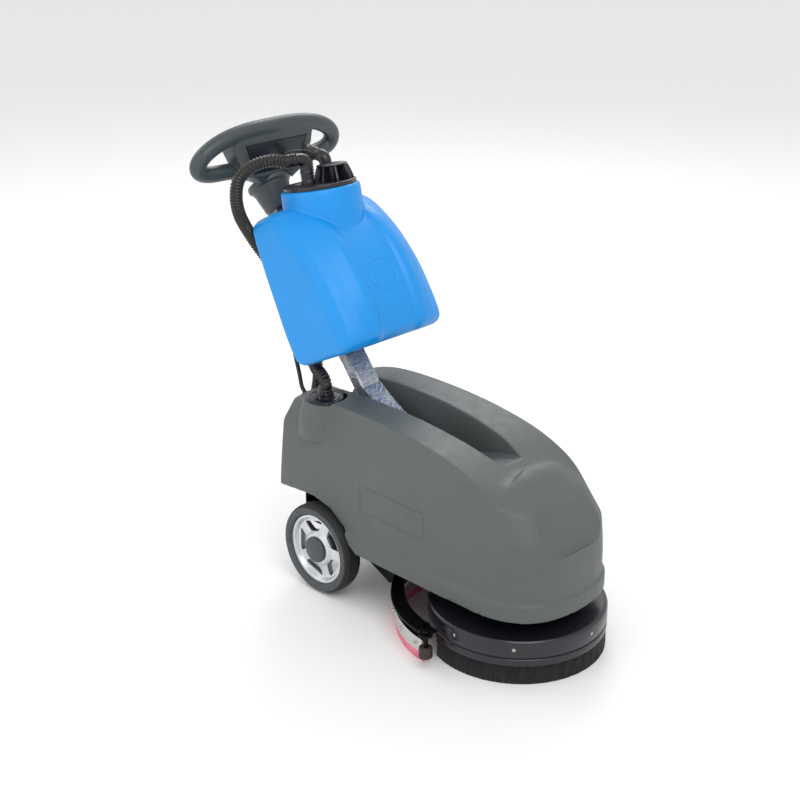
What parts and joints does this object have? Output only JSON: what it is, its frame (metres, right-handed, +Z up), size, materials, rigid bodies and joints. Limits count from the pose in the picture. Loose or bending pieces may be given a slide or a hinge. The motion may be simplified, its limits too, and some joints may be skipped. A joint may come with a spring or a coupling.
{
  "type": "walk-behind floor scrubber",
  "caption": "Compact walk-behind floor scrubber: disc brush deck with curved squeegee, rear wheels, folding column, recovery tank and loop handle.",
  "frame": {"origin": "on the floor, at the centre of the bounding box", "axes": "+Z up, front of the machine faces -Y, +X across the machine"},
  "size_m": [0.472, 0.98, 0.9606],
  "materials": {
    "grey_body": "fine orange-peel rotomoulded plastic",
    "slate_handle": "smooth moulded plastic",
    "blue_tank": "satin rotomoulded plastic",
    "black_plastic": "glossy moulded plastic",
    "hose": "corrugated flexible hose",
    "bare_steel": "bare metal",
    "black_steel": "satin black paint",
    "tyre_rubber": "grey-black rubber",
    "rim_silver": "silver paint",
    "pink_blade": "translucent polyurethane",
    "red_bristle": "nylon bristle",
    "black_bristle": "nylon bristle"
  },
  "bodies": {
    "chassis": {"body_shell": "grey_body", "chassis_frame": "black_steel", "wheel_axle": "bare_steel", "squeegee_hinge_pin": "bare_steel", "battery_left": "black_plastic", "battery_right": "black_plastic", "brush_motor": "black_steel", "vacuum_motor": "black_plastic", "vacuum_duct": "black_plastic", "gearbox_flange": "black_steel", "vacuum_port": "black_plastic", "port_nut": "black_plastic", "cable_gland": "black_plastic", "brush_deck": "black_plastic", "skirt_holder": "black_plastic", "skirt_bristles": "black_bristle", "fold_bracket": "black_steel", "fold_pin": "bare_steel", "hose_bracket": "black_steel"},
    "wheel_left": {"tyre_left": "tyre_rubber", "rim_left": "rim_silver", "hub_cap_left": "slate_handle"},
    "wheel_right": {"tyre_right": "tyre_rubber", "rim_right": "rim_silver", "hub_cap_right": "slate_handle"},
    "brush": {"brush_hub": "black_steel", "brush_plate": "red_bristle", "brush_bristles": "red_bristle"},
    "squeegee": {"squeegee_carrier": "black_steel", "blade_rear": "pink_blade", "blade_front": "pink_blade", "clamp_strip_rear": "bare_steel", "clamp_strip_front": "bare_steel", "suction_nozzle": "black_plastic", "hose_recovery_lower": "hose"},
    "roller_left": {"roller_left": "tyre_rubber"},
    "roller_right": {"roller_right": "tyre_rubber"},
    "column": {"column_tube": "bare_steel", "column_link": "bare_steel", "tank_shell": "blue_tank", "tank_saddle": "black_steel", "hose_clip": "black_plastic", "handle_head": "slate_handle", "handle_socket": "slate_handle", "control_panel": "black_plastic", "battery_meter": "black_plastic", "hose_vacuum_lower": "hose", "hose_recovery_middle": "hose", "cable_loom": "hose"},
    "lid": {"tank_lid": "black_plastic", "lid_seal": "hose", "float_cage": "black_plastic", "elbow_vacuum": "black_plastic", "elbow_recovery": "black_plastic", "hose_vacuum_upper": "hose", "hose_recovery_upper": "hose"},
    "key": {"key_switch": "bare_steel"},
    "brush_rocker": {"rocker_brush": "red_bristle"},
    "vacuum_rocker": {"rocker_vacuum": "red_bristle"}
  },
  "joints": [
    {"name": "wheel_left_spin", "type": "hinge", "parent": "chassis", "child": "wheel_left", "pos_m": [0.1475, 0.12045, 0.1], "axis": [1, 0, 0], "continuous": true},
    {"name": "wheel_right_spin", "type": "hinge", "parent": "chassis", "child": "wheel_right", "pos_m": [-0.1475, 0.12045, 0.1], "axis": [1, 0, 0], "continuous": true},
    {"name": "brush_spin", "type": "hinge", "parent": "chassis", "child": "brush", "pos_m": [0, -0.30705, 0.05], "axis": [0, 0, 1], "continuous": true},
    {"name": "squeegee_lift", "type": "hinge", "parent": "chassis", "child": "squeegee", "pos_m": [0, 0.06045, 0.098], "axis": [-1, 0, 0], "range_deg": [0, 6], "deforming": ["hose_recovery_lower"]},
    {"name": "roller_left_spin", "type": "hinge", "parent": "squeegee", "child": "roller_left", "pos_m": [0.222, -0.26355, 0.03], "axis": [0, 0, 1], "continuous": true},
    {"name": "roller_right_spin", "type": "hinge", "parent": "squeegee", "child": "roller_right", "pos_m": [-0.222, -0.26355, 0.03], "axis": [0, 0, 1], "continuous": true},
    {"name": "column_fold", "type": "hinge", "parent": "chassis", "child": "column", "pos_m": [0, 0.00045, 0.352], "axis": [1, 0, 0], "range_deg": [0, 35], "deforming": ["hose_vacuum_lower", "hose_recovery_middle", "cable_loom"]},
    {"name": "lid_lift", "type": "slide", "parent": "column", "child": "lid", "axis": [0, 0.2079, 0.9781], "range_m": [0, 0.085], "deforming": ["hose_vacuum_upper", "hose_recovery_upper"]},
    {"name": "key_turn", "type": "hinge", "parent": "column", "child": "key", "pos_m": [0.046, 0.47605, 0.874], "axis": [0, 1, 0], "range_deg": [0, 60]},
    {"name": "brush_rocker_tilt", "type": "hinge", "parent": "column", "child": "brush_rocker", "pos_m": [-0.006, 0.48055, 0.874], "axis": [1, 0, 0], "range_deg": [-8, 8]},
    {"name": "vacuum_rocker_tilt", "type": "hinge", "parent": "column", "child": "vacuum_rocker", "pos_m": [0.018, 0.48055, 0.874], "axis": [1, 0, 0], "range_deg": [-8, 8]}
  ]
}
